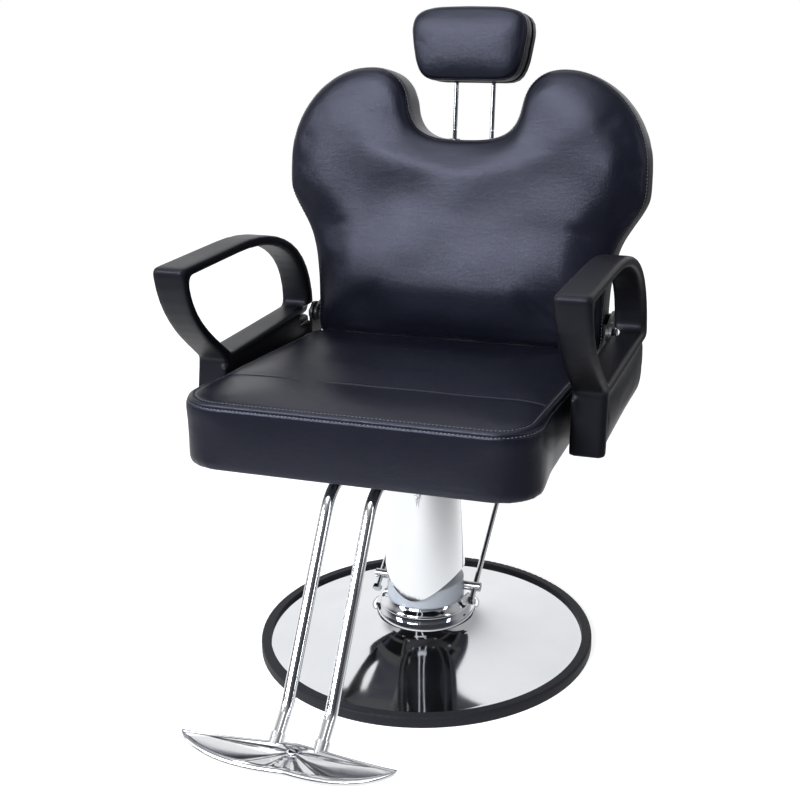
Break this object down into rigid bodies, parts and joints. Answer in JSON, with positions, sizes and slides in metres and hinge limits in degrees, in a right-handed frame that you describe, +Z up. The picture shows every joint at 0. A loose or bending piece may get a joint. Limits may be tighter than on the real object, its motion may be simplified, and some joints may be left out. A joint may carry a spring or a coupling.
{
  "type": "barber chair",
  "caption": "Barber chair with a heart-shaped reclining back, sliding headrest, loop arms, wing footrest and a hydraulic column with a foot lever on a domed chrome base.",
  "frame": {"origin": "centre of the round base at floor level, on the swivel axis", "axes": "+Z up; the sitter faces -Y; +X is to the sitter's left"},
  "size_m": [0.694, 0.975, 1.097],
  "materials": {
    "chrome": "mirror chrome plate",
    "polished_aluminium": "polished casting",
    "steel": "zinc plated",
    "dark_steel": "satin black paint",
    "black_paint": "gloss black paint",
    "pump_paint": "grey-blue paint",
    "brass": "bearing bronze",
    "rubber": "dark grey rubber",
    "nylon": "black nylon",
    "arm_foam": "satin black self-skinned foam",
    "upholstery": "satin blue-black vinyl",
    "plywood": "bare plywood"
  },
  "bodies": {
    "base": {"base_plate": "dark_steel", "base_cover": "chrome", "base_edge_ring": "rubber", "pump_body": "pump_paint", "pump_gland": "steel", "pump_collar": "chrome", "pump_bolts": "steel"},
    "pump_lever": {"lever_shaft": "steel", "lever_fork": "chrome", "lever_nuts": "chrome", "lever_pedal": "rubber"},
    "lift": {"piston_rod": "steel", "pump_sleeve": "chrome", "sleeve_carrier": "dark_steel", "thrust_washer": "brass"},
    "seat": {"swivel_hub": "dark_steel", "mounting_plate": "dark_steel", "mounting_bolts": "steel", "frame_rails": "dark_steel", "frame_cross_tubes": "dark_steel", "frame_straps": "dark_steel", "side_plate_left": "dark_steel", "side_plate_right": "dark_steel", "seat_board": "plywood", "seat_cushion": "upholstery", "arm_left": "arm_foam", "arm_right": "arm_foam", "side_panel_left": "upholstery", "side_panel_right": "upholstery", "arm_bolts": "steel", "footrest_tube_left": "chrome", "footrest_tube_right": "chrome", "footrest_clamp": "steel", "footrest_plate": "polished_aluminium", "footrest_cap": "chrome", "footrest_pads": "rubber", "pivot_bolts": "chrome", "pivot_washers": "nylon", "strut_anchor": "steel", "strut_cylinder": "black_paint", "release_bracket": "steel"},
    "back": {"back_cross_bar": "dark_steel", "back_hinge_left": "steel", "back_hinge_right": "steel", "back_board": "plywood", "back_cushion": "upholstery", "back_rim": "upholstery", "back_panel": "upholstery", "post_guides": "nylon", "strut_pin": "steel"},
    "strut_piston": {"strut_rod": "steel"},
    "headrest": {"headrest_posts": "chrome", "headrest_bracket": "steel", "headrest_board": "plywood", "headrest_cushion": "upholstery", "headrest_cover": "upholstery"},
    "recline_handle": {"release_lever": "black_paint", "release_grip": "rubber"}
  },
  "joints": [
    {"name": "lever_stroke", "type": "hinge", "parent": "base", "child": "pump_lever", "pos_m": [0, 0.012, 0.105], "axis": [1, 0, 0], "range_deg": [-26, 0], "stiffness_Nm_per_rad": 12, "springref_deg": 11.46},
    {"name": "seat_lift", "type": "slide", "parent": "base", "child": "lift", "axis": [0, 0, 1], "range_m": [0, 0.15]},
    {"name": "seat_swivel", "type": "hinge", "parent": "lift", "child": "seat", "pos_m": [0, 0, 0.37], "axis": [0, 0, 1], "continuous": true},
    {"name": "back_recline", "type": "hinge", "parent": "seat", "child": "back", "pos_m": [0, 0.205, 0.5303], "axis": [-1, 0, 0], "range_deg": [0, 30]},
    {"name": "strut_slide", "type": "slide", "parent": "seat", "child": "strut_piston", "axis": [0, -1, 0], "range_m": [0, 0.0642]},
    {"name": "headrest_slide", "type": "slide", "parent": "back", "child": "headrest", "axis": [0, 0.1599, 0.9871], "range_m": [-0.05, 0.07]},
    {"name": "handle_pull", "type": "hinge", "parent": "seat", "child": "recline_handle", "pos_m": [-0.158, -0.128, 0.40455], "axis": [0, 1, 0], "range_deg": [0, 7], "stiffness_Nm_per_rad": 2, "springref_deg": -11.46}
  ],
  "couplings": [
    {"joint": "strut_slide", "follows": "back_recline", "m_per_rad": 0.1226}
  ]
}
